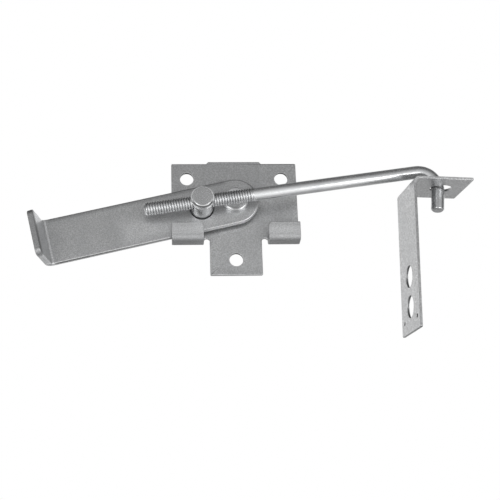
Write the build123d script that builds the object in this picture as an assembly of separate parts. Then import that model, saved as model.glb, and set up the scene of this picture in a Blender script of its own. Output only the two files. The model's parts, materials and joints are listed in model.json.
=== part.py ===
from build123d import *
import os
from math import acos, atan2, cos, degrees, hypot, radians, sin, sqrt, tan

# Adjustable jamb latch, in millimetres, as it is screwed to a jamb.
# The origin is the middle of the two upper screw holes, on the back of the mounting plate.
# +Y is the outward normal of the plate's back, -Y faces the person who works the lever, +Z is up.

# Mounting plate: one piece of folded sheet
PLATE_THICKNESS = 1.8
PLATE_WIDTH = 62.0
SCREW_HOLE_DIAMETER = 6.7
UPPER_HOLE_FROM_SIDE = 7.6
PLATE_TOP_ABOVE_HOLES = 8.2
CREST_HEIGHT = 1.1
CREST_CORNER = 0.9
PIVOT_BELOW_HOLES = 14.1
TAB_WIDTH = 25.4
TAB_END_BELOW_PIVOT = 36.3
LOWER_HOLE_FROM_TAB_END = 7.8
PLATE_CORNER_RADIUS = 0.6

# J-hooks at the plate's lower corners, parted from the tab by a notch
HOOK_BOTTOM_BELOW_PIVOT = 21.05
HOOK_LIP_HEIGHT = 9.05
HOOK_BEND_INNER_RADIUS = 1.2
HOOK_LIP_INNER_CORNER = 2.2
HOOK_LIP_OUTER_CORNER = 0.5
HOOK_PLAY_BEFORE_LEVER = 1.0
NOTCH_WIDTH = 2.9
NOTCH_ABOVE_BEND = 0.6

# Lever: flat strip with a turned-up grip
LEVER_WIDTH = 22.9
LEVER_THICKNESS = 2.8
LEVER_SEAT_GAP = 0.32
LEVER_REACH = 92.5
GRIP_DEPTH = 17.3
GRIP_LEAN = 9.5
GRIP_BEND_INNER_RADIUS = 1.6
GRIP_CORNER_RADIUS = 2.8

# Pivot: rivet with a spacer under the lever
SPACER_THICKNESS = 2.6
SPACER_DIAMETER = 16.0
RIVET_SHANK_DIAMETER = 7.9
RIVET_HEAD_DIAMETER = 12.5
RIVET_HEAD_HEIGHT = 2.6
RIVET_HEAD_EDGE = 0.7
RIVET_TAIL_DIAMETER = 10.4
RIVET_TAIL_DEPTH = 1.2
RUNNING_GAP = 0.1
STAKED_GAP = 0.02

# Swivel post: turned stud with a cross hole for the rod
POST_DIAMETER = 11.0
POST_HEIGHT = 14.4
POST_EDGE = 0.9
POST_HOLE_GAP = 0.35
POST_FLANGE_DIAMETER = 14.4
POST_FLANGE_THICKNESS = 1.6
POST_FLANGE_GAP = 0.2
POST_FLANGE_FROM_SPACER = 1.6
ROD_ABOVE_LEVER = 8.1
ROD_BORE_GAP = 0.06

# Hook rod
ROD_DIAMETER = 6.35
ROD_RISE_ANGLE = 8.1
ROD_TIP_FROM_POST = 27.8
ROD_BEND_FROM_POST = 117.3
ROD_BEND_RADIUS = 9.2
PIN_LENGTH = 22.1
PIN_LEAN = 6.5
ROD_END_CHAMFER = 0.8

# Keeper: folded angle with three equal holes and two nail holes
KEEPER_THICKNESS = 1.2
KEEPER_WIDTH = 30.0
KEEPER_TOP_LENGTH = 29.5
KEEPER_LEG_LENGTH = 72.6
KEEPER_BEND_INNER_RADIUS = 1.8
KEEPER_CORNER_RADIUS = 0.8
KEEPER_HOLE_DIAMETER = 10.7
KEEPER_PIN_HOLE_FROM_CORNER = 17.7
KEEPER_LAST_HOLE_FROM_FOOT = 12.3
KEEPER_HOLE_PITCH = 14.6
NAIL_HOLE_DIAMETER = 2.0
NAIL_HOLE_FROM_FOOT = 6.1
NAIL_HOLE_SPREAD = 21.0

# How the keeper hangs on the pin: pushed a little way up the bend, turned and tilted (degrees)
KEEPER_UP_THE_BEND = 2.2
KEEPER_PIN_GAP = 0.25
KEEPER_TURN = 3.7
KEEPER_TILT_BACK = 5.7
KEEPER_TILT_SIDE = 1.3

# How far a cut runs past the sheet, and how near an edge is to where it is looked for
CUT_MARGIN = 1.0
NEAR = 0.05

# The plate and its hooks
pivot_z = -PIVOT_BELOW_HOLES
plate_front_y = -PLATE_THICKNESS
hook_bottom_z = pivot_z - HOOK_BOTTOM_BELOW_PIVOT
hook_floor_z = hook_bottom_z + PLATE_THICKNESS
bend_start_z = hook_floor_z + HOOK_BEND_INNER_RADIUS
lip_top_z = hook_bottom_z + HOOK_LIP_HEIGHT
tab_end_z = pivot_z - TAB_END_BELOW_PIVOT

# The lever lies in the left hook, with its lower edge just above the hook's floor
lever_back_y = plate_front_y - SPACER_THICKNESS - RUNNING_GAP
lever_front_y = lever_back_y - LEVER_THICKNESS
lip_back_y = lever_front_y - HOOK_PLAY_BEFORE_LEVER
lip_front_y = lip_back_y - PLATE_THICKNESS
seat_drop = pivot_z - hook_floor_z - LEVER_SEAT_GAP
seat_distance = hypot(PLATE_WIDTH / 2, seat_drop)
lever_slope = acos(LEVER_WIDTH / 2 / seat_distance) - atan2(PLATE_WIDTH / 2, seat_drop)

# The post stands in the lever, clear of the spacer, and carries the rod
post_from_pivot = SPACER_DIAMETER / 2 + POST_FLANGE_FROM_SPACER + POST_FLANGE_DIAMETER / 2
post_x = -post_from_pivot * cos(lever_slope)
post_z = pivot_z - post_from_pivot * sin(lever_slope)
rod_y = lever_front_y - ROD_ABOVE_LEVER
rod_along = Vector(cos(radians(ROD_RISE_ANGLE)), 0, sin(radians(ROD_RISE_ANGLE)))
pin_along = Vector(-sin(radians(PIN_LEAN)), 0, -cos(radians(PIN_LEAN)))
post_on_rod = Vector(post_x, rod_y, post_z)
rod_tip = post_on_rod - rod_along * ROD_TIP_FROM_POST
pin_top = post_on_rod + rod_along * ROD_BEND_FROM_POST
pin_end = pin_top + pin_along * PIN_LENGTH
bend_turn = radians(90 + ROD_RISE_ANGLE + PIN_LEAN)
bend_end = pin_top + pin_along * (ROD_BEND_RADIUS * tan(bend_turn / 2))

# The keeper's own frame lies on the pin's middle, half way through the top leg. The bend is wider than
# the pin, and stands nearly against one side of the hole.
keeper_frame = Pos(bend_end - pin_along * KEEPER_UP_THE_BEND)
keeper_frame *= Rotation(KEEPER_TILT_BACK, KEEPER_TILT_SIDE, KEEPER_TURN)
bend_inner_radius = ROD_BEND_RADIUS - ROD_DIAMETER / 2
keeper_top_z = KEEPER_THICKNESS / 2
bend_flare = bend_inner_radius - sqrt(bend_inner_radius**2 - (KEEPER_UP_THE_BEND + keeper_top_z)**2)
keeper_hole_x = (KEEPER_HOLE_DIAMETER - ROD_DIAMETER) / 2 - bend_flare - KEEPER_PIN_GAP
keeper_back_x = keeper_hole_x - KEEPER_PIN_HOLE_FROM_CORNER
keeper_foot_z = keeper_top_z - KEEPER_LEG_LENGTH


def turned(outline):
    """A turned piece: a closed half outline, in radius and depth, spun about the Y axis."""
    return revolve(make_face(outline), Axis.Y, 360)


def folded(outer_path, outer_radius, inner_path, inner_radius):
    """The section of folded sheet between its outer and its inner line, both rounded at the folds."""
    outer = FilletPolyline(*outer_path, radius=outer_radius)
    inner = FilletPolyline(*inner_path, radius=inner_radius)
    ends = [Line(outer @ 0, inner @ 0), Line(outer @ 1, inner @ 1)]
    return make_face([outer, inner] + ends)


def hole_along_y(diameter, x, z, y_front, y_back):
    """The cut for a hole through sheet that stands in the XZ plane."""
    middle = Location((x, (y_front + y_back) / 2, z), (90, 0, 0))
    return middle * Cylinder(diameter / 2, y_back - y_front + 2 * CUT_MARGIN)


def hole_along_x(diameter, y, z, x_front, x_back):
    """The cut for a hole through sheet that stands in the YZ plane."""
    middle = Location(((x_front + x_back) / 2, y, z), (0, 90, 0))
    return middle * Cylinder(diameter / 2, x_back - x_front + 2 * CUT_MARGIN)


def plate_blank():
    """The flat of the plate down to its bends, with the crest on top and the tab below."""
    side = PLATE_WIDTH / 2
    tab = TAB_WIDTH / 2
    top = PLATE_TOP_ABOVE_HOLES
    right_half = [
        (tab, top + CREST_HEIGHT), (tab + CREST_CORNER, top), (side, top), (side, bend_start_z),
        (tab, bend_start_z), (tab, tab_end_z),
    ]
    left_half = [(-x, z) for x, z in reversed(right_half)]
    outline = Polyline(*right_half, *left_half, close=True)
    blank = Plane.XZ * extrude(make_face(outline), PLATE_THICKNESS)
    edges = blank.edges().filter_by(Axis.Y)
    upper_corners = edges.filter_by(lambda e: abs(e.center().X) > side - NEAR and e.center().Z > top - NEAR)
    tab_corners = edges.filter_by(lambda e: e.center().Z < tab_end_z + NEAR)
    return fillet(upper_corners + tab_corners, PLATE_CORNER_RADIUS)


def j_hook(side):
    """One hook: the plate's sheet folded forward and up. It starts on the flat, above the bend."""
    outer_x = PLATE_WIDTH / 2
    inner_x = TAB_WIDTH / 2 + NOTCH_WIDTH
    start_z = bend_start_z + CUT_MARGIN
    section = folded(
        [(0, start_z), (0, hook_bottom_z), (lip_front_y, hook_bottom_z), (lip_front_y, lip_top_z)],
        HOOK_BEND_INNER_RADIUS + PLATE_THICKNESS,
        [(plate_front_y, start_z), (plate_front_y, hook_floor_z), (lip_back_y, hook_floor_z),
         (lip_back_y, lip_top_z)],
        HOOK_BEND_INNER_RADIUS)
    strip = Pos(side * inner_x, 0, 0) * extrude(Plane.YZ * section, side * (outer_x - inner_x))

    def lip_corner(x):
        return strip.edges().filter_by(Axis.Y).filter_by(
            lambda e: e.center().Z > lip_top_z - NEAR and abs(abs(e.center().X) - x) < NEAR)

    strip = fillet(lip_corner(inner_x), HOOK_LIP_INNER_CORNER)
    return fillet(lip_corner(outer_x), HOOK_LIP_OUTER_CORNER)


def notch(side):
    """The round-topped slot that lets the sheet fold beside the tab."""
    middle_x = side * (TAB_WIDTH + NOTCH_WIDTH) / 2
    round_z = bend_start_z + NOTCH_ABOVE_BEND - NOTCH_WIDTH / 2
    below = round_z - hook_bottom_z
    slot = Box(NOTCH_WIDTH, PLATE_THICKNESS + 2 * CUT_MARGIN, below)
    slot = Pos(middle_x, plate_front_y / 2, round_z - below / 2) * slot
    return slot + hole_along_y(NOTCH_WIDTH, middle_x, round_z, plate_front_y, 0)


def rivet_seat():
    """The countersunk hole that takes the rivet's formed tail, flush with the plate's back."""
    shank = RIVET_SHANK_DIAMETER / 2 + STAKED_GAP
    tail = RIVET_TAIL_DIAMETER / 2 + STAKED_GAP
    front = plate_front_y - CUT_MARGIN
    outline = Polyline(
        (0, CUT_MARGIN), (tail, CUT_MARGIN), (tail, 0), (shank, -RIVET_TAIL_DEPTH),
        (shank, front), (0, front), close=True)
    return Pos(0, 0, pivot_z) * turned(outline)


def mounting_plate():
    plate = plate_blank()
    upper_hole_x = PLATE_WIDTH / 2 - UPPER_HOLE_FROM_SIDE
    for side in (-1, 1):
        plate = plate + j_hook(side)
    for side in (-1, 1):
        plate = plate - notch(side)
        plate = plate - hole_along_y(SCREW_HOLE_DIAMETER, side * upper_hole_x, 0, plate_front_y, 0)
    lower_hole_z = tab_end_z + LOWER_HOLE_FROM_TAB_END
    plate = plate - hole_along_y(SCREW_HOLE_DIAMETER, 0, lower_hole_z, plate_front_y, 0)
    return plate - rivet_seat()


def pivot_rivet():
    """The shouldered rivet, with its tail formed into the plate's countersink."""
    shank = RIVET_SHANK_DIAMETER / 2
    head = RIVET_HEAD_DIAMETER / 2
    under_head = lever_front_y - RUNNING_GAP
    top = under_head - RIVET_HEAD_HEIGHT
    outline = Polyline(
        (0, 0), (RIVET_TAIL_DIAMETER / 2, 0), (shank, -RIVET_TAIL_DEPTH), (shank, under_head),
        (head, under_head), (head, top + RIVET_HEAD_EDGE), (head - RIVET_HEAD_EDGE, top), (0, top),
        close=True)
    return Pos(0, 0, pivot_z) * turned(outline)


def pivot_spacer():
    """The washer that holds the lever off the plate, so that the post's flange has room."""
    middle = Location((0, plate_front_y - SPACER_THICKNESS / 2, pivot_z), (90, 0, 0))
    bore = Cylinder(RIVET_SHANK_DIAMETER / 2 + STAKED_GAP, SPACER_THICKNESS + 2 * CUT_MARGIN)
    return middle * (Cylinder(SPACER_DIAMETER / 2, SPACER_THICKNESS) - bore)


def lever():
    """Strip with one round end, folded up at the other end into a grip that leans outwards.

    It is drawn along +X from the pivot, and then turned about the pivot into the left hook.
    """
    lean = radians(GRIP_LEAN)
    half = LEVER_WIDTH / 2
    tip_y = lever_front_y - GRIP_DEPTH
    tip_x = LEVER_REACH + GRIP_DEPTH * tan(lean)
    outer_corner_x = LEVER_REACH + LEVER_THICKNESS * (1 / cos(lean) - tan(lean))
    outer_tip = (tip_x + LEVER_THICKNESS * cos(lean), tip_y + LEVER_THICKNESS * sin(lean))
    section = folded(
        [(0, lever_back_y), (outer_corner_x, lever_back_y), outer_tip],
        GRIP_BEND_INNER_RADIUS + LEVER_THICKNESS,
        [(0, lever_front_y), (LEVER_REACH, lever_front_y), (tip_x, tip_y)],
        GRIP_BEND_INNER_RADIUS)
    strip = extrude(section, half, both=True)
    grip_corners = strip.edges().filter_by(
        lambda e: e.center().Y < tip_y + LEVER_THICKNESS and abs(abs(e.center().Z) - half) < NEAR
        and abs(e.length - LEVER_THICKNESS) < NEAR)
    strip = fillet(grip_corners, GRIP_CORNER_RADIUS)
    round_end = Location((0, (lever_front_y + lever_back_y) / 2, 0), (90, 0, 0))
    strip = strip + round_end * Cylinder(half, LEVER_THICKNESS)
    pivot_hole = RIVET_SHANK_DIAMETER + 2 * RUNNING_GAP
    post_hole = POST_DIAMETER + 2 * POST_HOLE_GAP
    strip = strip - hole_along_y(pivot_hole, 0, 0, lever_front_y, lever_back_y)
    strip = strip - hole_along_y(post_hole, post_from_pivot, 0, lever_front_y, lever_back_y)
    return Pos(0, 0, pivot_z) * Rotation(0, 180 - degrees(lever_slope), 0) * strip


def swivel_post():
    """Turned stud: flange behind the lever, plain barrel through it, bevelled end and a cross hole."""
    barrel = POST_DIAMETER / 2
    flange = POST_FLANGE_DIAMETER / 2
    top = lever_front_y - POST_HEIGHT
    flange_front = lever_back_y + POST_FLANGE_GAP
    flange_back = flange_front + POST_FLANGE_THICKNESS
    outline = Polyline(
        (0, flange_back), (flange, flange_back), (flange, flange_front), (barrel, flange_front),
        (barrel, top + POST_EDGE), (barrel - POST_EDGE, top), (0, top), close=True)
    post = Pos(post_x, 0, post_z) * turned(outline)
    rod_bore = Cylinder(ROD_DIAMETER / 2 + ROD_BORE_GAP, POST_DIAMETER + 2 * CUT_MARGIN)
    return post - Plane(origin=post_on_rod, z_dir=rod_along) * rod_bore


def hook_rod():
    """Round rod from its threaded tip, through the post, to the turned-down pin."""
    path = FilletPolyline(rod_tip, pin_top, pin_end, radius=ROD_BEND_RADIUS)
    section = Plane(origin=rod_tip, z_dir=rod_along) * Circle(ROD_DIAMETER / 2)
    rod = sweep(section, path)
    ends = rod.edges().filter_by(GeomType.CIRCLE).filter_by(
        lambda e: (e.arc_center - rod_tip).length < NEAR or (e.arc_center - pin_end).length < NEAR)
    return chamfer(ends, ROD_END_CHAMFER)


def keeper():
    """Folded angle: the top leg hangs on the pin by its hole, and the long leg is fastened.

    It is drawn in its own frame, and then set on the pin.
    """
    end_x = keeper_back_x + KEEPER_TOP_LENGTH
    inner_x = keeper_back_x + KEEPER_THICKNESS
    inner_z = keeper_top_z - KEEPER_THICKNESS
    section = folded(
        [(end_x, keeper_top_z), (keeper_back_x, keeper_top_z), (keeper_back_x, keeper_foot_z)],
        KEEPER_BEND_INNER_RADIUS + KEEPER_THICKNESS,
        [(end_x, inner_z), (inner_x, inner_z), (inner_x, keeper_foot_z)],
        KEEPER_BEND_INNER_RADIUS)
    half = KEEPER_WIDTH / 2
    angle = extrude(Plane.XZ * section, half, both=True)
    corners = angle.edges().filter_by(
        lambda e: abs(abs(e.center().Y) - half) < NEAR and abs(e.length - KEEPER_THICKNESS) < NEAR)
    angle = fillet(corners, KEEPER_CORNER_RADIUS)
    pin_hole = Cylinder(KEEPER_HOLE_DIAMETER / 2, KEEPER_THICKNESS + 2 * CUT_MARGIN)
    angle = angle - Pos(keeper_hole_x, 0, 0) * pin_hole
    last_hole_z = keeper_foot_z + KEEPER_LAST_HOLE_FROM_FOOT
    for hole_z in (last_hole_z, last_hole_z + KEEPER_HOLE_PITCH):
        angle = angle - hole_along_x(KEEPER_HOLE_DIAMETER, 0, hole_z, keeper_back_x, inner_x)
    nail_z = keeper_foot_z + NAIL_HOLE_FROM_FOOT
    for nail_y in (-NAIL_HOLE_SPREAD / 2, NAIL_HOLE_SPREAD / 2):
        angle = angle - hole_along_x(NAIL_HOLE_DIAMETER, nail_y, nail_z, keeper_back_x, inner_x)
    return keeper_frame * angle


os.makedirs("parts", exist_ok=True)
export_step(mounting_plate(), "parts/mounting_plate.step")
export_step(pivot_rivet(), "parts/pivot_rivet.step")
export_step(pivot_spacer(), "parts/pivot_spacer.step")
export_step(lever(), "parts/lever.step")
export_step(swivel_post(), "parts/swivel_post.step")
export_step(hook_rod(), "parts/hook_rod.step")
export_step(keeper(), "parts/keeper.step")
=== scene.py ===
"""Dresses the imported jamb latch: rounded sheet edges, a rolled thread and bright zinc finishes."""

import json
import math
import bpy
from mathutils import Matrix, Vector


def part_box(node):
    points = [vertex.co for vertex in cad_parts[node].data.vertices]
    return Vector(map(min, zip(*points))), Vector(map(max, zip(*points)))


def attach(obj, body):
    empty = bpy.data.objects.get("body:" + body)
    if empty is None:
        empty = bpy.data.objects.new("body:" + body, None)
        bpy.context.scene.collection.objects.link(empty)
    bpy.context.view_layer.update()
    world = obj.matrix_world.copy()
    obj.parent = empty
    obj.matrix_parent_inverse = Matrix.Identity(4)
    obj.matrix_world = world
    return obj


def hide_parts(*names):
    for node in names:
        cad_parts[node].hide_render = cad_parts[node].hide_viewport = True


bl_info = {
    "name": "Jamb Latch Dressing",
    "version": (1, 0, 0),
    "blender": (4, 5, 0),
    "location": "View3D > Sidebar > Jamb Latch",
    "description": "Rounds the sheet edges, cuts the rod's thread and gives every piece its zinc finish",
    "category": "Object",
}

import bmesh
import bpy
from bpy.props import FloatProperty, FloatVectorProperty, IntProperty, PointerProperty
from mathutils import Matrix, Vector

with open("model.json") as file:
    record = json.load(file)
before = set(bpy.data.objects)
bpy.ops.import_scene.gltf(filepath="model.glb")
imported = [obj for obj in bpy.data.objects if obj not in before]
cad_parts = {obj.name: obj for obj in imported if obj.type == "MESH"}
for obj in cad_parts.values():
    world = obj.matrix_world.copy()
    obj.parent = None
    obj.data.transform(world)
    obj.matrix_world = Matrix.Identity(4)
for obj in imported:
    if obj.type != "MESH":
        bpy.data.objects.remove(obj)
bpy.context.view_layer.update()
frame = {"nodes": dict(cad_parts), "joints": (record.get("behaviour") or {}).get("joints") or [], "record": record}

MILLIMETRE = 0.001

# Points nearer than this are one point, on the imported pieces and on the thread
DOUBLES_APART = 1e-6
THREAD_DOUBLES_APART = 2e-6
# Faces that meet at less than the first angle are one face, and edges past the second are rounded
FLAT_ANGLE = math.radians(0.4)
SHARP_ANGLE = math.radians(32)

# The front of the mounting plate, and how far from a hole's axis its edges are looked for
PLATE_FRONT = -1.8 * MILLIMETRE
NEAR_SCREW_HOLE = 5.0 * MILLIMETRE
NEAR_LEVER_HOLE = 8.5 * MILLIMETRE
# How far the lever rises to the right at rest
LEVER_SLOPE = math.radians(13.03)

# The finish: height of its relief, shade of its dark speckles, width of the painted highlight along an edge, how
# much smoother such an edge is, and how evenly the painted highlight runs along the edges of the turned pieces
BUMP_HEIGHT = 0.01 * MILLIMETRE
SPECKLE_SHADE = 0.62
EDGE_HIGHLIGHT_WIDTH = 0.5 * MILLIMETRE
EDGE_SMOOTHING = 0.06
EVEN_EDGE_HIGHLIGHT = 0.95
# Painted shade in the roots of the thread: its colour, how strongly it shows, and how much rougher the roots are
ROOT_SHADE_COLOUR = (0.12, 0.12, 0.125, 1.0)
ROOT_SHADE_STRENGTH = 0.15
ROOT_ROUGHER = 0.2
# Painted shade on the walls of a punched hole
HOLE_WALL_SHADE = {"softness": 0.1 * MILLIMETRE, "factor": 0.30, "rougher": 0.1}

# Brightness of the reflected studio by angle about the X axis, in degrees: 0 in front of the latch,
# 90 overhead, -90 below, 180 behind
STUDIO_LEVELS = (
    (-180, 0.85), (-165, 0.60), (-150, 0.42), (-130, 0.40), (-112, 0.42), (-92, 0.60), (-74, 1.00),
    (-48, 1.50), (-30, 1.35), (-8, 1.05), (8, 0.84), (20, 0.60), (38, 0.30), (58, 0.06), (95, 0.05),
    (118, 0.30), (135, 0.70), (150, 1.00), (180, 1.05),
)
# The same by the share of the direction that points aside: soft boxes stand left and right of the
# camera, with little light past them
SIDE_LEVELS = ((0.0, 0.92), (0.15, 0.98), (0.35, 1.12), (0.62, 1.25), (0.80, 1.0), (1.0, 0.50))
# Width of the camera's sensor in millimetres
SENSOR_WIDTH = 36.0


class SheetSettings(bpy.types.PropertyGroup):
    edge_radius: FloatProperty(
        name="Sheet edge radius", description="Rounding of the pressed sheet's edges",
        default=0.0004, unit="LENGTH")
    thin_edge_radius: FloatProperty(
        name="Thin sheet edge radius", description="Rounding of the keeper's edges",
        default=0.00015, unit="LENGTH")
    rolled_edge_radius: FloatProperty(
        name="Lever front edge radius",
        description="Roll-over that the punch leaves on the lever's front edges",
        default=0.0008, unit="LENGTH")
    turned_edge_radius: FloatProperty(
        name="Turned edge radius", description="Rounding of the edges on turned pieces",
        default=0.00018, unit="LENGTH")
    rivet_edge_radius: FloatProperty(
        name="Rivet head radius", description="Rounding of the rivet head's rim",
        default=0.0003, unit="LENGTH")
    edge_steps: IntProperty(
        name="Edge steps", description="How many faces round an edge", default=4, min=1)


class RodSettings(bpy.types.PropertyGroup):
    diameter: FloatProperty(
        name="Rod diameter", description="Outside diameter of the rod and its thread",
        default=0.00635, unit="LENGTH")
    pitch: FloatProperty(
        name="Thread pitch", description="Distance from one crest to the next",
        default=0.00127, unit="LENGTH")
    thread_depth: FloatProperty(
        name="Thread depth", description="From the crest to the root", default=0.00075, unit="LENGTH")
    thread_length: FloatProperty(
        name="Thread length", description="Threaded length from the rod's tip", default=0.0531, unit="LENGTH")
    run_out: FloatProperty(
        name="Run-out", description="Length over which the thread fades into the plain shank",
        default=0.0020, unit="LENGTH")
    end_chamfer: FloatProperty(
        name="End chamfer", description="Chamfer at the rod's two ends", default=0.0008, unit="LENGTH")
    rise_angle: FloatProperty(
        name="Rise angle", description="How far the rod climbs towards the keeper",
        default=math.radians(8.1), subtype="ANGLE")
    pin_lean: FloatProperty(
        name="Pin lean", description="How far the pin leans back under the rod",
        default=math.radians(6.5), subtype="ANGLE")
    bend_radius: FloatProperty(
        name="Bend radius", description="Radius of the bend at the middle of the rod",
        default=0.0092, unit="LENGTH")
    tip_from_post: FloatProperty(
        name="Tip from post", description="From the post's middle to the rod's tip",
        default=0.0278, unit="LENGTH")
    corner_from_post: FloatProperty(
        name="Corner from post", description="From the post's middle to the corner of the bend",
        default=0.1173, unit="LENGTH")
    pin_length: FloatProperty(
        name="Pin length", description="From the corner of the bend to the pin's end",
        default=0.0221, unit="LENGTH")
    segments: IntProperty(
        name="Segments", description="Faces around the rod", default=56, min=12)
    rows_per_turn: IntProperty(
        name="Rows per turn", description="Rows of faces in one turn of the thread", default=16, min=6)
    bend_steps: IntProperty(
        name="Bend steps", description="Rings of faces around the bend", default=28, min=6)


class ZincSettings(bpy.types.PropertyGroup):
    light_zinc: FloatVectorProperty(
        name="Light zinc", description="Colour of the plating where it is brightest",
        default=(0.560, 0.565, 0.570), size=3, subtype="COLOR")
    dark_zinc: FloatVectorProperty(
        name="Dark zinc", description="Colour of the plating where it is dullest",
        default=(0.480, 0.487, 0.495), size=3, subtype="COLOR")
    sheet_roughness: FloatProperty(
        name="Sheet roughness", description="Roughness of the plated sheet",
        default=0.36, subtype="FACTOR")
    metal_share: FloatProperty(
        name="Metal share", description="How much of the surface mirrors; the rest is dull passivation",
        default=0.82, subtype="FACTOR")
    turned_roughness: FloatProperty(
        name="Turned roughness", description="Roughness of the plated turned pieces",
        default=0.22, subtype="FACTOR")
    rod_roughness: FloatProperty(
        name="Rod roughness", description="Roughness of the plated rod",
        default=0.20, subtype="FACTOR")
    speckle_roughness: FloatProperty(
        name="Speckle roughness", description="How far the speckle changes the roughness",
        default=0.08, subtype="FACTOR")
    line_roughness: FloatProperty(
        name="Line roughness", description="How far the drawn lines change the roughness",
        default=0.05, subtype="FACTOR")
    speckle_bump: FloatProperty(
        name="Speckle bump", description="Strength of the speckle's relief", default=0.25, subtype="FACTOR")
    line_bump: FloatProperty(
        name="Line bump", description="Strength of the drawn lines' relief", default=0.12, subtype="FACTOR")


class StageSettings(bpy.types.PropertyGroup):
    lens: FloatProperty(
        name="Lens", description="Focal length on a 36 mm sensor", default=77.62, unit="CAMERA")
    elevation: FloatProperty(
        name="Elevation", description="How far the camera looks up", default=math.radians(20.295),
        subtype="ANGLE")
    azimuth: FloatProperty(
        name="Azimuth", description="How far the camera looks towards the keeper",
        default=math.radians(4.575), subtype="ANGLE")
    roll: FloatProperty(
        name="Roll", description="Turn of the camera about its line of sight",
        default=math.radians(-2.031), subtype="ANGLE")
    distance: FloatProperty(
        name="Distance", description="Depth of the pivot in front of the camera", default=0.529992,
        unit="LENGTH")
    pivot_aside: FloatProperty(
        name="Pivot aside", description="Where the view shows the pivot, to the right of its middle, as a "
        "share of the distance", default=-0.014159)
    pivot_above: FloatProperty(
        name="Pivot above", description="Where the view shows the pivot, above its middle, as a share of the "
        "distance", default=0.041667)
    floor_height: FloatProperty(
        name="Floor height", description="Height of the floor under the latch", default=-0.26,
        unit="LENGTH")
    floor_colour: FloatVectorProperty(
        name="Floor colour", description="Colour of the plain floor", default=(0.86, 0.86, 0.86),
        size=3, subtype="COLOR")


# Helpers

def settings(name):
    return getattr(bpy.context.scene, name)


def named(entries, name):
    """The entry of this name in one of the frame's lists."""
    for entry in entries:
        if entry["name"] == name:
            return entry
    raise RuntimeError(f"the frame has nothing named {name}")


def new_piece(name, mesh):
    piece = bpy.data.objects.new(name, mesh)
    bpy.context.scene.collection.objects.link(piece)
    return piece


def baked(piece):
    """Turns a piece's modifiers into plain mesh."""
    graph = bpy.context.evaluated_depsgraph_get()
    mesh = bpy.data.meshes.new_from_object(piece.evaluated_get(graph))
    mesh.name = piece.name
    piece.modifiers.clear()
    old = piece.data
    piece.data = mesh
    bpy.data.meshes.remove(old)
    return piece


def merged_copy(node):
    """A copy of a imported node's mesh, with its doubles merged and its flat faces made whole."""
    source = frame["nodes"][node]
    work = bmesh.new()
    work.from_mesh(source.data)
    work.transform(source.matrix_world)
    bmesh.ops.remove_doubles(work, verts=work.verts, dist=DOUBLES_APART)
    bmesh.ops.dissolve_limit(
        work, angle_limit=FLAT_ANGLE, use_dissolve_boundaries=False, verts=work.verts,
        edges=work.edges, delimit=set())
    return work


def mark_edges(work, radius_of):
    """Notes the rounding of each edge at which two faces meet sharply, and gives back the largest."""
    weight = work.edges.layers.float.new("bevel_weight_edge")
    sharp = [e for e in work.edges if len(e.link_faces) == 2 and e.calc_face_angle() > SHARP_ANGLE]
    radii = {edge: radius_of(edge) for edge in sharp}
    largest = max(radii.values())
    for edge, radius in radii.items():
        edge[weight] = radius / largest
    return largest


def finish_piece(name, work, material, node, body, radius_of=None):
    """Makes the piece from the mesh, rounds its edges, shades it evenly and puts it in the node's place."""
    largest = mark_edges(work, radius_of) if radius_of else 0.0
    mesh = bpy.data.meshes.new(name)
    for face in work.faces:
        face.smooth = True
    work.to_mesh(mesh)
    work.free()
    mesh.materials.append(material)
    piece = new_piece(name, mesh)
    if largest:
        rounding = piece.modifiers.new("Rounded edges", "BEVEL")
        rounding.limit_method = "WEIGHT"
        rounding.offset_type = "OFFSET"
        rounding.width = largest
        rounding.segments = settings("latch_sheet").edge_steps
        rounding.use_clamp_overlap = False
    normals = piece.modifiers.new("Even shading", "WEIGHTED_NORMAL")
    normals.weight = 50
    normals.keep_sharp = True
    baked(piece)
    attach(piece, body)
    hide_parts(node)
    return piece


# Finishes

def group_socket(tree, name, kind, value=None, output=False):
    socket = tree.interface.new_socket(name=name, in_out="OUTPUT" if output else "INPUT", socket_type=kind)
    if value is not None:
        socket.default_value = value
    return socket


def plating_grain(tree):
    """Shader group: the fine speckle and the broad cloudiness of bright zinc plate."""
    group_socket(tree, "Vector", "NodeSocketVector")
    group_socket(tree, "Speckle Scale", "NodeSocketFloat", 1500.0)
    group_socket(tree, "Cloud Scale", "NodeSocketFloat", 55.0)
    group_socket(tree, "Speckle", "NodeSocketFloat", output=True)
    group_socket(tree, "Cloud", "NodeSocketFloat", output=True)
    nodes, links = tree.nodes, tree.links
    start = nodes.new("NodeGroupInput")
    end = nodes.new("NodeGroupOutput")
    speckle = nodes.new("ShaderNodeTexNoise")
    speckle.inputs["Detail"].default_value = 3.0
    speckle.inputs["Roughness"].default_value = 0.65
    cloud = nodes.new("ShaderNodeTexNoise")
    cloud.inputs["Detail"].default_value = 4.0
    cloud.inputs["Roughness"].default_value = 0.55
    cloud.inputs["Distortion"].default_value = 0.4
    for noise, scale, output in ((speckle, "Speckle Scale", "Speckle"), (cloud, "Cloud Scale", "Cloud")):
        links.new(start.outputs["Vector"], noise.inputs["Vector"])
        links.new(start.outputs[scale], noise.inputs["Scale"])
        spread = nodes.new("ShaderNodeMapRange")
        spread.interpolation_type = "SMOOTHSTEP"
        spread.inputs["From Min"].default_value = 0.32
        spread.inputs["From Max"].default_value = 0.68
        links.new(noise.outputs["Fac"], spread.inputs["Value"])
        links.new(spread.outputs["Result"], end.inputs[output])


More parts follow.
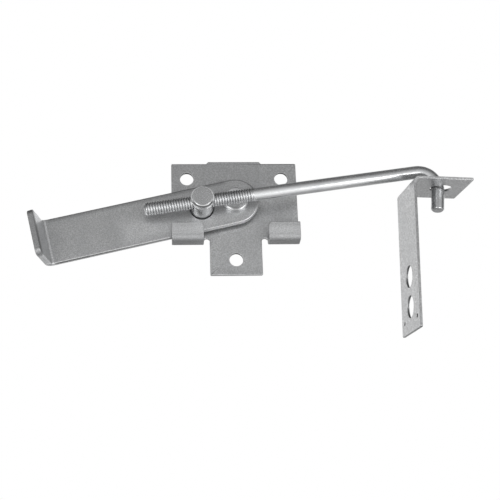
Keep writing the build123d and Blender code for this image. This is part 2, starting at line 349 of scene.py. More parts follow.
def drawn_lines(tree):
    """Shader group: long fine lines left by rolling, drawing or turning, along the local X axis."""
    group_socket(tree, "Vector", "NodeSocketVector")
    group_socket(tree, "Lines Scale", "NodeSocketFloat", 2200.0)
    group_socket(tree, "Stretch", "NodeSocketFloat", 0.02)
    group_socket(tree, "Lines", "NodeSocketFloat", output=True)
    nodes, links = tree.nodes, tree.links
    start = nodes.new("NodeGroupInput")
    end = nodes.new("NodeGroupOutput")
    squeeze = nodes.new("ShaderNodeCombineXYZ")
    squeeze.inputs["Y"].default_value = 1.0
    squeeze.inputs["Z"].default_value = 1.0
    stretched = nodes.new("ShaderNodeVectorMath")
    stretched.operation = "MULTIPLY"
    noise = nodes.new("ShaderNodeTexNoise")
    noise.inputs["Detail"].default_value = 2.0
    links.new(start.outputs["Stretch"], squeeze.inputs["X"])
    links.new(start.outputs["Vector"], stretched.inputs[0])
    links.new(squeeze.outputs["Vector"], stretched.inputs[1])
    links.new(stretched.outputs["Vector"], noise.inputs["Vector"])
    links.new(start.outputs["Lines Scale"], noise.inputs["Scale"])
    links.new(noise.outputs["Fac"], end.inputs["Lines"])


def edge_highlight(tree):
    """Shader group: where a painted highlight runs along an edge."""
    group_socket(tree, "Breakup", "NodeSocketFloat", 0.5)
    group_socket(tree, "Edge", "NodeSocketFloat", output=True)
    nodes, links = tree.nodes, tree.links
    start = nodes.new("NodeGroupInput")
    end = nodes.new("NodeGroupOutput")
    bevel = nodes.new("ShaderNodeBevel")
    bevel.samples = 4
    bevel.inputs["Radius"].default_value = EDGE_HIGHLIGHT_WIDTH
    geometry = nodes.new("ShaderNodeNewGeometry")
    dot = nodes.new("ShaderNodeVectorMath")
    dot.operation = "DOT_PRODUCT"
    mask = nodes.new("ShaderNodeMapRange")
    mask.inputs["From Min"].default_value = 0.995
    mask.inputs["From Max"].default_value = 0.93
    broken = nodes.new("ShaderNodeMath")
    broken.operation = "MULTIPLY"
    links.new(bevel.outputs["Normal"], dot.inputs[0])
    links.new(geometry.outputs["Normal"], dot.inputs[1])
    links.new(dot.outputs["Value"], mask.inputs["Value"])
    links.new(mask.outputs["Result"], broken.inputs[0])
    links.new(start.outputs["Breakup"], broken.inputs[1])
    links.new(broken.outputs["Value"], end.inputs["Edge"])


def thread_roots(tree):
    """Shader group: how deep a point lies in the thread, about the local X axis."""
    group_socket(tree, "Vector", "NodeSocketVector")
    group_socket(tree, "Crest Radius", "NodeSocketFloat", 0.00312)
    group_socket(tree, "Root Radius", "NodeSocketFloat", 0.00250)
    group_socket(tree, "Root", "NodeSocketFloat", output=True)
    nodes, links = tree.nodes, tree.links
    start = nodes.new("NodeGroupInput")
    end = nodes.new("NodeGroupOutput")
    across = nodes.new("ShaderNodeVectorMath")
    across.operation = "MULTIPLY"
    across.inputs[1].default_value = (0.0, 1.0, 1.0)
    radius = nodes.new("ShaderNodeVectorMath")
    radius.operation = "LENGTH"
    depth = nodes.new("ShaderNodeMapRange")
    depth.interpolation_type = "SMOOTHSTEP"
    along = nodes.new("ShaderNodeSeparateXYZ")
    past_tip = nodes.new("ShaderNodeMath")
    past_tip.operation = "GREATER_THAN"
    past_tip.inputs[1].default_value = 0.5 * MILLIMETRE
    root = nodes.new("ShaderNodeMath")
    root.operation = "MULTIPLY"
    links.new(start.outputs["Vector"], across.inputs[0])
    links.new(across.outputs["Vector"], radius.inputs[0])
    links.new(radius.outputs["Value"], depth.inputs["Value"])
    links.new(start.outputs["Crest Radius"], depth.inputs["From Min"])
    links.new(start.outputs["Root Radius"], depth.inputs["From Max"])
    links.new(start.outputs["Vector"], along.inputs[0])
    links.new(along.outputs["X"], past_tip.inputs[0])
    links.new(depth.outputs["Result"], root.inputs[0])
    links.new(past_tip.outputs[0], root.inputs[1])
    links.new(root.outputs[0], end.inputs["Root"])


def box_mask(tree):
    """Shader group: 1 inside a box given by its middle and half size, with soft sides."""
    group_socket(tree, "Vector", "NodeSocketVector")
    group_socket(tree, "Middle", "NodeSocketVector")
    group_socket(tree, "Half Size", "NodeSocketVector")
    group_socket(tree, "Softness", "NodeSocketFloat", 0.0008)
    group_socket(tree, "Mask", "NodeSocketFloat", output=True)
    nodes, links = tree.nodes, tree.links
    start = nodes.new("NodeGroupInput")
    end = nodes.new("NodeGroupOutput")

    def vector(operation, *values):
        node = nodes.new("ShaderNodeVectorMath")
        node.operation = operation
        for value, socket in zip(values, node.inputs):
            links.new(value, socket)
        return node.outputs["Vector"]

    from_middle = vector("ABSOLUTE", vector("SUBTRACT", start.outputs["Vector"], start.outputs["Middle"]))
    inside = vector("SUBTRACT", start.outputs["Half Size"], from_middle)
    sides = nodes.new("ShaderNodeSeparateXYZ")
    links.new(inside, sides.inputs[0])
    least = None
    for axis in "XYZ":
        if least is None:
            least = sides.outputs[axis]
            continue
        lower = nodes.new("ShaderNodeMath")
        lower.operation = "MINIMUM"
        links.new(least, lower.inputs[0])
        links.new(sides.outputs[axis], lower.inputs[1])
        least = lower.outputs[0]
    soft = nodes.new("ShaderNodeMath")
    soft.operation = "DIVIDE"
    soft.use_clamp = True
    links.new(least, soft.inputs[0])
    links.new(start.outputs["Softness"], soft.inputs[1])
    links.new(soft.outputs[0], end.inputs["Mask"])


def group_node(nodes, fill, **values):
    """A node of the shader group that fill makes. The group takes the function's name, and is made once."""
    name = fill.__name__.replace("_", " ").capitalize()
    tree = bpy.data.node_groups.get(name)
    if tree is None:
        tree = bpy.data.node_groups.new(name, "ShaderNodeTree")
        fill(tree)
    node = nodes.new("ShaderNodeGroup")
    node.node_tree = tree
    for socket, value in values.items():
        node.inputs[socket.replace("_", " ")].default_value = value
    return node


def mix_colour(nodes, links, factor, a, b, blend="MIX"):
    """A colour mix. Each of factor, a and b is a socket or a plain value."""
    mix = nodes.new("ShaderNodeMix")
    mix.data_type = "RGBA"
    mix.blend_type = blend
    for socket, value in ((mix.inputs["Factor"], factor), (mix.inputs[6], a), (mix.inputs[7], b)):
        if isinstance(value, bpy.types.NodeSocket):
            links.new(value, socket)
        else:
            socket.default_value = value
    return mix.outputs[2]


def scaled(nodes, links, value, amount, add=0.0):
    """value * amount + add"""
    node = nodes.new("ShaderNodeMath")
    node.operation = "MULTIPLY_ADD"
    links.new(value, node.inputs[0])
    node.inputs[1].default_value = amount
    if isinstance(add, bpy.types.NodeSocket):
        links.new(add, node.inputs[2])
    else:
        node.inputs[2].default_value = add
    return node.outputs["Value"]


def mark(middle, half_size, softness, factor, rougher=0.0, duller=0.0):
    """A soft box whose colour is painted lighter or darker, mostly as painted light and shade: a factor on
    its colour, and how much rougher and less of a mirror it is."""
    return middle, half_size, softness, factor, rougher, duller


def zinc_finish(name, roughness, turn=(0.0, 0.0, 0.0), origin=(0.0, 0.0, 0.0), speckle=2000.0,
                contrast=1.1, edge_highlight_colour=1.0, brightness=1.0, edge_dulling=0.0, threaded=False, marks=()):
    """Bright zinc plate.

    The drawn lines run along X after the turn about the origin, and the marks are placed in the same
    directions. Speckle is how fine the speckle is, and contrast how dark. Edge highlight colour is a factor on
    the colour of the painted highlight along edges, and edge dulling is how much less of a mirror they are. A
    threaded finish has painted shade in the roots.
    """
    found = bpy.data.materials.get(name)
    if found:
        return found
    zinc = settings("latch_zinc")
    material = bpy.data.materials.new(name)
    material.use_nodes = True
    nodes, links = material.node_tree.nodes, material.node_tree.links
    shader = nodes["Principled BSDF"]
    shader.inputs["Metallic"].default_value = zinc.metal_share
    where = nodes.new("ShaderNodeTexCoord")
    place = nodes.new("ShaderNodeMapping")
    place.vector_type = "TEXTURE"
    place.inputs["Location"].default_value = origin
    place.inputs["Rotation"].default_value = turn
    links.new(where.outputs["Object"], place.inputs["Vector"])
    grain = group_node(nodes, plating_grain, Speckle_Scale=speckle)
    drawn = group_node(nodes, drawn_lines)
    edge = group_node(nodes, edge_highlight)
    links.new(place.outputs["Vector"], grain.inputs["Vector"])
    links.new(place.outputs["Vector"], drawn.inputs["Vector"])
    if edge_dulling:
        edge.inputs["Breakup"].default_value = EVEN_EDGE_HIGHLIGHT
    else:
        links.new(grain.outputs["Cloud"], edge.inputs["Breakup"])
    light = [c * brightness for c in zinc.light_zinc] + [1.0]
    dark = [c * brightness for c in zinc.dark_zinc] + [1.0]
    clouded = mix_colour(nodes, links, grain.outputs["Cloud"], dark, light)
    rough = scaled(nodes, links, grain.outputs["Speckle"], zinc.speckle_roughness,
                   roughness - zinc.speckle_roughness / 2)
    rough = scaled(nodes, links, drawn.outputs["Lines"], zinc.line_roughness, rough)
    rough = scaled(nodes, links, edge.outputs["Edge"], -EDGE_SMOOTHING, rough)
    speckled = mix_colour(nodes, links, scaled(nodes, links, grain.outputs["Speckle"], contrast),
                          clouded, [c * SPECKLE_SHADE for c in light[:3]] + [1.0])
    # painted highlight: the edges are painted toward the light zinc times the edge highlight colour
    colour = mix_colour(nodes, links, edge.outputs["Edge"], speckled,
                        [min(1.0, c * edge_highlight_colour) for c in light[:3]] + [1.0])
    metal = zinc.metal_share
    if edge_dulling:
        metal = scaled(nodes, links, edge.outputs["Edge"], -edge_dulling, metal)
    # the marks' painted light and shade
    for middle, half_size, softness, factor, rougher, duller in marks:
        box = group_node(nodes, box_mask, Middle=middle, Half_Size=half_size, Softness=softness)
        links.new(place.outputs["Vector"], box.inputs["Vector"])
        colour = mix_colour(nodes, links, box.outputs["Mask"], colour, [factor] * 3 + [1.0], "MULTIPLY")
        rough = scaled(nodes, links, box.outputs["Mask"], rougher, rough)
        if duller:
            metal = scaled(nodes, links, box.outputs["Mask"], -duller, metal)
    if threaded:
        deep = group_node(nodes, thread_roots)
        links.new(place.outputs["Vector"], deep.inputs["Vector"])
        # painted shade in the roots of the thread
        colour = mix_colour(nodes, links, scaled(nodes, links, deep.outputs["Root"], ROOT_SHADE_STRENGTH), colour,
                            ROOT_SHADE_COLOUR)
        rough = scaled(nodes, links, deep.outputs["Root"], ROOT_ROUGHER, rough)
    links.new(colour, shader.inputs["Base Color"])
    links.new(rough, shader.inputs["Roughness"])
    if isinstance(metal, bpy.types.NodeSocket):
        links.new(metal, shader.inputs["Metallic"])
    fine = nodes.new("ShaderNodeBump")
    fine.inputs["Strength"].default_value = zinc.speckle_bump
    fine.inputs["Distance"].default_value = BUMP_HEIGHT
    long = nodes.new("ShaderNodeBump")
    long.inputs["Strength"].default_value = zinc.line_bump
    long.inputs["Distance"].default_value = BUMP_HEIGHT
    links.new(grain.outputs["Speckle"], fine.inputs["Height"])
    links.new(drawn.outputs["Lines"], long.inputs["Height"])
    links.new(fine.outputs["Normal"], long.inputs["Normal"])
    links.new(long.outputs["Normal"], shader.inputs["Normal"])
    return material


# Pieces

class LATCH_OT_mounting_plate(bpy.types.Operator):
    """Rounds the edges of the folded mounting plate and gives it its finish"""
    bl_idname = "latch.mounting_plate"
    bl_label = "Mounting Plate"

    def execute(self, context):
        sheet, zinc = context.scene.latch_sheet, context.scene.latch_zinc
        work = merged_copy("mounting_plate")
        mounts = frame["record"]["mounts"]
        apart = named(mounts, "upper_screw_holes")["dims"]["spacing_x_mm"] * MILLIMETRE
        lower = named(mounts, "lower_screw_hole")["pos_m"]
        holes = ((-apart / 2, 0.0), (apart / 2, 0.0), (lower[0], lower[2]))
        # painted light: lighter low on the plate, and to the right of the pivot
        marks = [
            mark((0.0, PLATE_FRONT, -0.0300), (0.0200, 0.0080, 0.0220), softness=0.0060, factor=1.15),
            mark((0.0250, PLATE_FRONT, -0.0120), (0.0130, 0.0080, 0.0110), softness=0.0060, factor=1.25),
        ]
        # painted shade on the walls of the screw holes
        marks += [mark((x, PLATE_FRONT / 2, z), (0.0040, 0.0008, 0.0040), **HOLE_WALL_SHADE) for x, z in holes]
        # on each hook painted shade on the rougher fold, painted light on the lip and more painted light on the
        # lip's lower part
        for side in (-1, 1):
            hook = side * 0.0235
            marks += [
                mark((hook, -0.0060, -0.0350), (0.0090, 0.0080, 0.0030), softness=0.0010, factor=0.80,
                     rougher=0.14),
                mark((hook, -0.0100, -0.0275), (0.0090, 0.0030, 0.0052), softness=0.0008, factor=1.30),
                mark((hook, -0.0100, -0.0304), (0.0090, 0.0030, 0.0024), softness=0.0010, factor=1.13),
            ]
        material = zinc_finish("Zinc on plate sheet", zinc.sheet_roughness, marks=marks)

        def radius_of(edge):
            middle = (edge.verts[0].co + edge.verts[1].co) / 2
            at_a_hole = any(math.hypot(middle.x - x, middle.z - z) < NEAR_SCREW_HOLE for x, z in holes)
            return sheet.thin_edge_radius if at_a_hole else sheet.edge_radius

        finish_piece("latch_plate", work, material, "mounting_plate", "plate", radius_of)
        return {"FINISHED"}


class LATCH_OT_lever(bpy.types.Operator):
    """Rounds the edges of the lever and gives it its finish"""
    bl_idname = "latch.lever"
    bl_label = "Lever"

    def execute(self, context):
        sheet, zinc = context.scene.latch_sheet, context.scene.latch_zinc
        work = merged_copy("lever")
        pivot = named(frame["joints"], "lever_pivot")["pos_m"]
        swivel = named(frame["joints"], "post_swivel")["pos_m"]

        def radius_of(edge):
            middle = (edge.verts[0].co + edge.verts[1].co) / 2
            faces_front = any(face.normal.y < -0.99 for face in edge.link_faces)
            at_a_hole = any(math.hypot(middle.x - p[0], middle.z - p[2]) < NEAR_LEVER_HOLE
                            for p in (pivot, swivel))
            if faces_front and middle.y < pivot[1] and not at_a_hole:
                return sheet.rolled_edge_radius
            return sheet.edge_radius

        low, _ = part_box("lever")
        grip_end = low[1] - pivot[1]
        # in the lever's own directions from the pivot: a painted highlight along the fold, painted light on the
        # grip and round the post, painted shade along the upper edge, a painted highlight along the lower edge and
        # painted shade on the rougher end of the grip
        marks = (
            mark((-0.0917, -0.0020, 0.0), (0.0008, 0.0030, 0.0130), softness=0.0004, factor=1.50,
                 rougher=0.05),
            mark((-0.0960, -0.0085, 0.0), (0.0040, 0.0068, 0.0130), softness=0.0005, factor=1.60,
                 rougher=0.05),
            mark((-0.0200, -0.0014, -0.0040), (0.0400, 0.0080, 0.0085), softness=0.0060, factor=1.25),
            mark((-0.0460, -0.0014, 0.0116), (0.0445, 0.0040, 0.0026), softness=0.0022, factor=0.52),
            mark((-0.0450, 0.0, -0.0122), (0.0500, 0.0040, 0.0010), softness=0.0003, factor=1.35),
            mark((-0.0940, grip_end + 0.0002, 0.0), (0.0045, 0.0020, 0.0150), softness=0.0004, factor=0.66,
                 rougher=0.1),
        )
        material = zinc_finish("Zinc on lever sheet", zinc.sheet_roughness, turn=(0.0, -LEVER_SLOPE, 0.0),
                               origin=pivot, edge_highlight_colour=0.78, marks=marks)
        finish_piece("latch_lever", work, material, "lever", "lever", radius_of)
        return {"FINISHED"}


class LATCH_OT_keeper(bpy.types.Operator):
    """Rounds the edges of the folded keeper and gives it its finish"""
    bl_idname = "latch.keeper"
    bl_label = "Keeper"

    def execute(self, context):
        sheet, zinc = context.scene.latch_sheet, context.scene.latch_zinc
        work = merged_copy("keeper")
        mounts = frame["record"]["mounts"]
        hinge = named(frame["joints"], "keeper_swivel")
        inward, up = Vector(named(mounts, "keeper_hole_upper")["axis"]), Vector(hinge["axis"])
        turn = Matrix((up, inward.cross(up), inward)).transposed()
        # in the keeper's own directions from the pin hole: up, to the front, towards the pin
        foot = -0.0720
        front = 0.0150
        nails_above_foot = 0.0061
        nails_aside = 0.0105
        hole_reach = 0.0057
        wall_reach = 0.00042
        crisp = 0.0001
        # painted shade on the walls of the pin hole and the two screw holes
        marks = [mark((0.0, 0.0, 0.0), (wall_reach, hole_reach, hole_reach), **HOLE_WALL_SHADE)]
        for name in ("keeper_hole_upper", "keeper_hole_lower"):
            middle = turn.transposed() @ (Vector(named(mounts, name)["pos_m"]) - Vector(hinge["pos_m"]))
            marks.append(mark(tuple(middle), (hole_reach, hole_reach, wall_reach), **HOLE_WALL_SHADE))
        leg = middle.z
        # painted shade: dark spots where the two small nail holes are
        for aside in (-nails_aside, nails_aside):
            marks.append(mark((foot + nails_above_foot, aside, leg), (0.0012, 0.0012, 0.0005), softness=crisp,
                              factor=0.16, rougher=0.2))
        # painted shade along the edge of the foot and along the front edge of the leg
        marks.append(mark((foot, 0.0, leg), (0.00035, 0.0200, 0.0020), softness=crisp, factor=0.50))
        marks.append(mark((-0.0375, front, leg), (0.0345, 0.0004, 0.0020), softness=crisp, factor=0.66))
        material = zinc_finish("Zinc on keeper sheet", zinc.sheet_roughness, turn=tuple(turn.to_euler()),
                               origin=hinge["pos_m"], speckle=1300.0, contrast=1.5, brightness=1.12,
                               marks=marks)
        finish_piece("latch_keeper", work, material, "keeper", "keeper",
                     lambda edge: sheet.thin_edge_radius)
        return {"FINISHED"}


def post_marks(rim):
    """The bevel with painted shade below and a painted highlight above, and two painted highlights on the barrel
    behind it.
    """
    bevel = rim + 0.0006
    barrel = rim + 0.0022
    marks = [
        mark((0.0, bevel, -0.0060), (0.0080, 0.0004, 0.0034), softness=0.0001, factor=0.25, rougher=0.1),
        mark((0.0, bevel, 0.0034), (0.0080, 0.0004, 0.0054), softness=0.0001, factor=1.4, duller=0.7),
    ]
    for aside in (0.0036, -0.0036):
        marks.append(mark((aside, barrel, -0.0040), (0.0018, 0.0011, 0.0020), softness=0.0002, factor=1.9,
                          duller=0.78))
    return marks


def rivet_marks(rim):
    """The painted shade on the lower side of the head, and the duller face."""
    return [
        mark((0.0, rim + 0.0010, -0.0060), (0.0030, 0.0030, 0.0030), softness=0.0022, factor=0.5,
             rougher=0.1),
        mark((0.0, rim, 0.0), (0.0060, 0.0012, 0.0060), softness=0.0009, factor=1.0, duller=0.3),
    ]


class LATCH_OT_turned_pieces(bpy.types.Operator):
    """Rounds the edges of the rivet, the spacer and the swivel post and gives them their finish"""
    bl_idname = "latch.turned_pieces"
    bl_label = "Turned Pieces"

    def execute(self, context):
        sheet, zinc = context.scene.latch_sheet, context.scene.latch_zinc
        pieces = (
            ("latch_rivet", "pivot_rivet", "plate", sheet.rivet_edge_radius),
            ("latch_spacer", "pivot_spacer", "plate", sheet.turned_edge_radius),
            ("latch_post", "swivel_post", "post", sheet.turned_edge_radius),
        )
        for name, node, body, radius in pieces:
            work = merged_copy(node)
            low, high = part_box(node)
            middle = [(a + b) / 2 for a, b in zip(low, high)]
            rim = low[1] - middle[1]
            # painted highlight along the edges of the turned pieces
            look = {"edge_highlight_colour": 1.75, "edge_dulling": 0.75, "brightness": 0.92}
            if node == "swivel_post":
                look["marks"] = post_marks(rim)
            elif node == "pivot_rivet":
                # painted light: the rivet is painted lighter all over, against the shade of the rod in front of it
                look = {"edge_highlight_colour": 0.9, "edge_dulling": 0.5, "brightness": 1.25,
                        "marks": rivet_marks(rim)}
            material = zinc_finish("Zinc on " + node.replace("_", " "), zinc.turned_roughness, origin=middle,
                                   contrast=0.35, **look)
            finish_piece(name, work, material, node, body, lambda edge: radius)
        return {"FINISHED"}


def thread_tree():
    """Geometry Nodes: a rolled thread along X, with a chamfered tip and a run-out into the plain rod."""
    tree = bpy.data.node_groups.new("Rolled thread", "GeometryNodeTree")
    sizes = ("Length", "Pitch", "Crest Radius", "Depth", "Run Out", "Tip Radius")
    for name in sizes:
        group_socket(tree, name, "NodeSocketFloat", 0.001)
    group_socket(tree, "Rows per Turn", "NodeSocketInt", 12)
    group_socket(tree, "Segments", "NodeSocketInt", 56)
    group_socket(tree, "Finish", "NodeSocketMaterial")
    group_socket(tree, "Geometry", "NodeSocketGeometry", output=True)
    nodes, links = tree.nodes, tree.links
    start = nodes.new("NodeGroupInput").outputs
    end = nodes.new("NodeGroupOutput")

    def put(value, socket):
        if isinstance(value, bpy.types.NodeSocket):
            links.new(value, socket)
        else:
            socket.default_value = value

    def maths(operation, *values, clamp=False):
        node = nodes.new("ShaderNodeMath")
        node.operation = operation
        node.use_clamp = clamp
        for value, socket in zip(values, node.inputs):
            put(value, socket)
        return node.outputs[0]

    turns = maths("ADD", maths("CEIL", maths("DIVIDE", start["Length"], start["Pitch"])), 1.0)
    grid = nodes.new("GeometryNodeMeshGrid")
    grid.inputs["Size X"].default_value = 1.0
    grid.inputs["Size Y"].default_value = 1.0
    links.new(maths("MULTIPLY_ADD", turns, start["Rows per Turn"], 1.0), grid.inputs["Vertices X"])
    links.new(maths("ADD", start["Segments"], 1.0), grid.inputs["Vertices Y"])
    at = nodes.new("ShaderNodeSeparateXYZ")
    links.new(nodes.new("GeometryNodeInputPosition").outputs[0], at.inputs[0])
    round_share = maths("ADD", at.outputs["Y"], 0.5)
    row = maths("MULTIPLY", maths("ADD", at.outputs["X"], 0.5), turns)
    # a row climbs one pitch in one turn, and stops at the two ends of the thread
    climb = maths("SUBTRACT", maths("ADD", row, round_share), 1.0)
    along = maths("MINIMUM", maths("MAXIMUM", maths("MULTIPLY", climb, start["Pitch"]), 0.0), start["Length"])
    # the share is taken at the row's own place in the pitch: 1 on the crest, 0 in the root
    share = maths("ABSOLUTE", maths("MULTIPLY_ADD", maths("FRACT", maths("ADD", row, 0.0001)), 2.0, -1.0))
    flank = nodes.new("ShaderNodeMapRange")
    flank.interpolation_type = "SMOOTHSTEP"
    flank.inputs["From Min"].default_value = 0.05
    flank.inputs["From Max"].default_value = 0.65
    flank.inputs["To Min"].default_value = 1.0
    flank.inputs["To Max"].default_value = 0.0
    links.new(share, flank.inputs["Value"])
    fade = maths("DIVIDE", maths("SUBTRACT", start["Length"], along), start["Run Out"], clamp=True)
    cut = maths("MULTIPLY", maths("MULTIPLY", start["Depth"], flank.outputs["Result"]), fade)
    radius = maths("SUBTRACT", start["Crest Radius"], cut)
    radius = maths("MINIMUM", radius, maths("ADD", start["Tip Radius"], along))
    angle = maths("MULTIPLY", round_share, 2.0 * math.pi)
    place = nodes.new("ShaderNodeCombineXYZ")
    links.new(along, place.inputs["X"])
    links.new(maths("MULTIPLY", radius, maths("COSINE", angle)), place.inputs["Y"])
    links.new(maths("MULTIPLY", radius, maths("SINE", angle)), place.inputs["Z"])
    wrap = nodes.new("GeometryNodeSetPosition")
    links.new(grid.outputs["Mesh"], wrap.inputs["Geometry"])
    links.new(place.outputs[0], wrap.inputs["Position"])
    merge = nodes.new("GeometryNodeMergeByDistance")
    merge.inputs["Distance"].default_value = THREAD_DOUBLES_APART
    links.new(wrap.outputs[0], merge.inputs["Geometry"])
    whole = nodes.new("GeometryNodeRealizeInstances")
    links.new(merge.outputs[0], whole.inputs["Geometry"])
    painted = nodes.new("GeometryNodeSetMaterial")
    links.new(whole.outputs[0], painted.inputs["Geometry"])
    links.new(start["Finish"], painted.inputs["Material"])
    links.new(painted.outputs[0], end.inputs["Geometry"])
    return tree


def rolled_thread(rod, material):
    """The thread as a mesh along X, made by the Geometry Nodes tree."""
    tree = thread_tree()
    piece = new_piece("thread", bpy.data.meshes.new("thread"))
    modifier = piece.modifiers.new("Rolled thread", "NODES")
    modifier.node_group = tree
    values = {
        "Length": rod.thread_length, "Pitch": rod.pitch, "Crest Radius": rod.diameter / 2,
        "Depth": rod.thread_depth, "Run Out": rod.run_out, "Tip Radius": rod.diameter / 2 - rod.end_chamfer,
        "Rows per Turn": rod.rows_per_turn, "Segments": rod.segments, "Finish": material,
    }
    for socket in tree.interface.items_tree:
        if socket.in_out == "INPUT":
            modifier[socket.identifier] = values[socket.name]
    baked(piece)
    work = bmesh.new()
    work.from_mesh(piece.data)
    mesh = piece.data
    bpy.data.objects.remove(piece)
    bpy.data.meshes.remove(mesh)
    return work


def ring(work, middle, across, radius, segments):
    """A ring of points about the middle. It starts on +Y and turns towards the given direction."""
    points = []
    for k in range(segments):
        angle = 2.0 * math.pi * k / segments
        along = Vector((0.0, 1.0, 0.0)) * (radius * math.cos(angle))
        at = middle + along + across * (radius * math.sin(angle))
        points.append(work.verts.new(at))
    return points


def bridge(work, first, second):
    count = len(first)
    for k in range(count):
        work.faces.new((first[k], first[(k + 1) % count], second[(k + 1) % count], second[k]))


def plain_shank(work, rod, tip, along, down):
    """The rod past its thread: straight, around the bend and down the pin, with a chamfered end."""
    radius = rod.diameter / 2
    corner = tip + along * (rod.tip_from_post + rod.corner_from_post)
    turn = math.acos(along.dot(down))
    setback = rod.bend_radius * math.tan(turn / 2)
    side = Vector((0.0, 1.0, 0.0))
    up = along.cross(side).normalized()
    if up.z < 0:
        up = -up
    centre = corner - along * setback - up * rod.bend_radius
    rings = [(tip + along * rod.thread_length, up, radius)]
    for step in range(rod.bend_steps + 1):
        angle = turn * step / rod.bend_steps
        out = up * math.cos(angle) + along * math.sin(angle)
        rings.append((centre + out * rod.bend_radius, out, radius))
    end = corner + down * rod.pin_length
    out = rings[-1][1]
    rings.append((end - down * rod.end_chamfer, out, radius))
    rings.append((end, out, radius - rod.end_chamfer))
    before = None
    for middle, across, size in rings:
        now = ring(work, middle, across, size, rod.segments)
        if before:
            bridge(work, before, now)
        before = now
    work.faces.new(before)


class LATCH_OT_hook_rod(bpy.types.Operator):
    """Makes the hook rod, with its rolled thread, its bend and its pin"""
    bl_idname = "latch.hook_rod"
    bl_label = "Hook Rod"

    def execute(self, context):
        rod, zinc = context.scene.latch_rod, context.scene.latch_zinc
        post = Vector(named(frame["joints"], "post_swivel")["pos_m"])
        along = Vector((math.cos(rod.rise_angle), 0.0, math.sin(rod.rise_angle)))
        down = Vector((-math.sin(rod.pin_lean), 0.0, -math.cos(rod.pin_lean)))
        tip = post - along * rod.tip_from_post
        half_thread = rod.thread_length / 2
        # in the rod's own directions from its tip: painted shade along the upper side of the thread, and painted
        # shade on the pin
        marks = (
            mark((half_thread, 0.0, 0.0030), (half_thread + 0.0004, 0.0060, 0.0018), softness=0.0008,
                 factor=0.45),
            mark((0.1415, 0.0, -0.0135), (0.0070, 0.0060, 0.0100), softness=0.0020, factor=0.82),
        )
        material = zinc_finish("Zinc on rod", zinc.rod_roughness, turn=(0.0, -rod.rise_angle, 0.0),
                               origin=tuple(tip), contrast=0.25, brightness=1.15, threaded=True,
                               marks=marks)
        work = rolled_thread(rod, material)
        bmesh.ops.transform(
            work, matrix=Matrix.Translation(tip) @ Matrix.Rotation(-rod.rise_angle, 4, "Y"), verts=work.verts)
        plain_shank(work, rod, tip, along, down)
        bmesh.ops.remove_doubles(work, verts=work.verts, dist=THREAD_DOUBLES_APART)
        open_edges = [e for e in work.edges if len(e.link_faces) == 1]
        bmesh.ops.holes_fill(work, edges=open_edges, sides=0)
        bmesh.ops.recalc_face_normals(work, faces=work.faces)
        finish_piece("latch_rod", work, material, "hook_rod", "rod")
        return {"FINISHED"}


# Stage

def set_stops(ramp, stops):
    elements = ramp.color_ramp.elements
    while len(elements) < len(stops):
        elements.new(0.5)
    for element, (position, level) in zip(elements, stops):
        element.position = position
        element.color = (level, level, level, 1.0)


def studio_world():
    """White behind the latch, and for reflections a soft studio that changes with height."""
    world = bpy.data.worlds.new("Studio")
    bpy.context.scene.world = world
    world.use_nodes = True
    nodes, links = world.node_tree.nodes, world.node_tree.links
    backdrop = nodes["Background"]
    backdrop.inputs["Color"].default_value = (1.0, 1.0, 1.0, 1.0)
    where = nodes.new("ShaderNodeTexCoord")
    split = nodes.new("ShaderNodeSeparateXYZ")
    links.new(where.outputs["Generated"], split.inputs[0])

    def maths(operation, *values):
        node = nodes.new("ShaderNodeMath")
        node.operation = operation
        for value, socket in zip(values, node.inputs):
            if isinstance(value, bpy.types.NodeSocket):
                links.new(value, socket)
            else:
                socket.default_value = value
        return node.outputs[0]

    angle = maths("ARCTAN2", split.outputs["Z"], maths("MULTIPLY", split.outputs["Y"], -1.0))
    share = maths("MULTIPLY_ADD", angle, 1.0 / (2.0 * math.pi), 0.5)
    ramp = nodes.new("ShaderNodeValToRGB")
    links.new(share, ramp.inputs["Fac"])
    brightest = max(level for _, level in STUDIO_LEVELS)
    set_stops(ramp, [(degrees / 360.0 + 0.5, level / brightest) for degrees, level in STUDIO_LEVELS])
    aside = nodes.new("ShaderNodeValToRGB")
    links.new(maths("ABSOLUTE", split.outputs["X"]), aside.inputs["Fac"])
    widest = max(level for _, level in SIDE_LEVELS)
    set_stops(aside, [(at, level / widest) for at, level in SIDE_LEVELS])
    reflected = nodes.new("ShaderNodeBackground")
    links.new(ramp.outputs["Color"], reflected.inputs["Color"])
    links.new(maths("MULTIPLY", aside.outputs["Color"], brightest * widest), reflected.inputs["Strength"])
    path = nodes.new("ShaderNodeLightPath")
    choose = nodes.new("ShaderNodeMixShader")
    links.new(path.outputs["Is Camera Ray"], choose.inputs[0])
    links.new(reflected.outputs[0], choose.inputs[1])
    links.new(backdrop.outputs[0], choose.inputs[2])
    links.new(choose.outputs[0], nodes["World Output"].inputs["Surface"])


def plain_floor(stage):
    mesh = bpy.data.meshes.new("floor")
    work = bmesh.new()
    bmesh.ops.create_grid(work, x_segments=1, y_segments=1, size=4.0)
    bmesh.ops.translate(work, vec=(0.0, 0.0, stage.floor_height), verts=work.verts)
    work.to_mesh(mesh)
    work.free()
    floor = new_piece("floor", mesh)
    material = bpy.data.materials.new("Plain floor")
    material.use_nodes = True
    shader = material.node_tree.nodes["Principled BSDF"]
    shader.inputs["Base Color"].default_value = list(stage.floor_colour) + [1.0]
    shader.inputs["Roughness"].default_value = 0.7
    mesh.materials.append(material)
    floor.visible_glossy = False


def soft_light(name, place, target, size, power):
    lamp = bpy.data.lights.new(name, "AREA")
    lamp.shape = "DISK"
    lamp.size = size
    lamp.energy = power
    light = new_piece(name, lamp)
    light.location = place
    light.rotation_euler = (Vector(target) - Vector(place)).to_track_quat("-Z", "Y").to_euler()
    return light


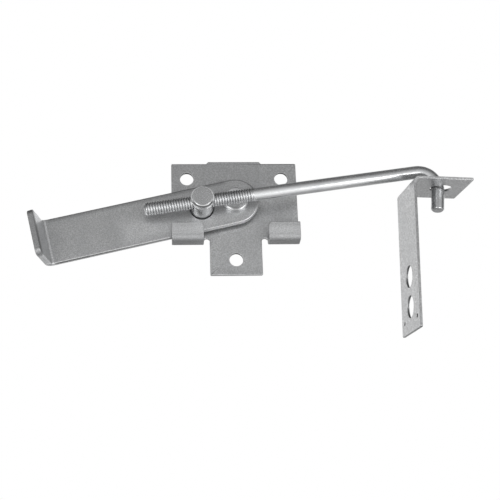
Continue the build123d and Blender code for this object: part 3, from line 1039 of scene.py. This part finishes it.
def photo_camera(stage):
    """The camera looks up at the latch from a little to its left, as in the photograph."""
    hinge = named(frame["joints"], "lever_pivot")["pos_m"]
    pivot = Vector((hinge[0], PLATE_FRONT, hinge[2]))
    level = math.cos(stage.elevation)
    forward = Vector((
        math.sin(stage.azimuth) * level, math.cos(stage.azimuth) * level, math.sin(stage.elevation)))
    right = forward.cross(Vector((0.0, 0.0, 1.0))).normalized()
    up = right.cross(forward)
    rolled_right = right * math.cos(stage.roll) + up * math.sin(stage.roll)
    rolled_up = up * math.cos(stage.roll) - right * math.sin(stage.roll)
    sight = forward + rolled_right * stage.pivot_aside + rolled_up * stage.pivot_above
    place = pivot - sight * stage.distance
    lens = bpy.data.cameras.new("Photo camera")
    lens.lens = stage.lens
    lens.sensor_width = SENSOR_WIDTH
    lens.clip_start = 0.01
    camera = new_piece("photo_camera", lens)
    turn = Matrix((rolled_right, rolled_up, -forward)).transposed().to_4x4()
    camera.matrix_world = Matrix.Translation(place) @ turn
    bpy.context.scene.camera = camera


class LATCH_OT_stage(bpy.types.Operator):
    """Makes the plain floor, the soft studio light and the camera at the photograph's angle"""
    bl_idname = "latch.stage"
    bl_label = "Stage"

    def execute(self, context):
        stage = context.scene.latch_stage
        context.scene.view_settings.view_transform = "Standard"
        studio_world()
        plain_floor(stage)
        overhead = soft_light("overhead_light", place=(0.3, -0.5, 1.4), target=(0.0, 0.0, stage.floor_height),
                              size=1.2, power=12.0)
        overhead.visible_glossy = False
        for name, side in (("left_light", -1), ("right_light", 1)):
            soft_light(name, place=(side * 0.27, -0.34, -0.20), target=(0.0, 0.0, -0.03), size=0.22,
                       power=0.55)
        photo_camera(stage)
        return {"FINISHED"}


class LATCH_PT_dressing(bpy.types.Panel):
    """Sizes, finishes and steps of the latch's dressing"""
    bl_label = "Jamb Latch"
    bl_idname = "LATCH_PT_dressing"
    bl_space_type = "VIEW_3D"
    bl_region_type = "UI"
    bl_category = "Jamb Latch"

    def draw(self, context):
        layout = self.layout
        for step in STEPS:
            layout.operator(step.bl_idname)
        for name in SETTINGS:
            box = layout.box()
            group = getattr(context.scene, name)
            for prop in group.bl_rna.properties:
                if prop.identifier not in {"rna_type", "name"}:
                    box.prop(group, prop.identifier)


SETTINGS = {
    "latch_sheet": SheetSettings,
    "latch_rod": RodSettings,
    "latch_zinc": ZincSettings,
    "latch_stage": StageSettings,
}
STEPS = (
    LATCH_OT_mounting_plate,
    LATCH_OT_lever,
    LATCH_OT_turned_pieces,
    LATCH_OT_hook_rod,
    LATCH_OT_keeper,
    LATCH_OT_stage,
)


def register():
    for name, group in SETTINGS.items():
        bpy.utils.register_class(group)
        setattr(bpy.types.Scene, name, PointerProperty(type=group))
    for step in STEPS:
        bpy.utils.register_class(step)
    bpy.utils.register_class(LATCH_PT_dressing)


def unregister():
    bpy.utils.unregister_class(LATCH_PT_dressing)
    for step in reversed(STEPS):
        bpy.utils.unregister_class(step)
    for name, group in reversed(list(SETTINGS.items())):
        delattr(bpy.types.Scene, name)
        bpy.utils.unregister_class(group)


def main():
    register()
    bpy.ops.latch.mounting_plate()
    bpy.ops.latch.lever()
    bpy.ops.latch.turned_pieces()
    bpy.ops.latch.hook_rod()
    bpy.ops.latch.keeper()
    bpy.ops.latch.stage()


if __name__ == "__main__":
    main()
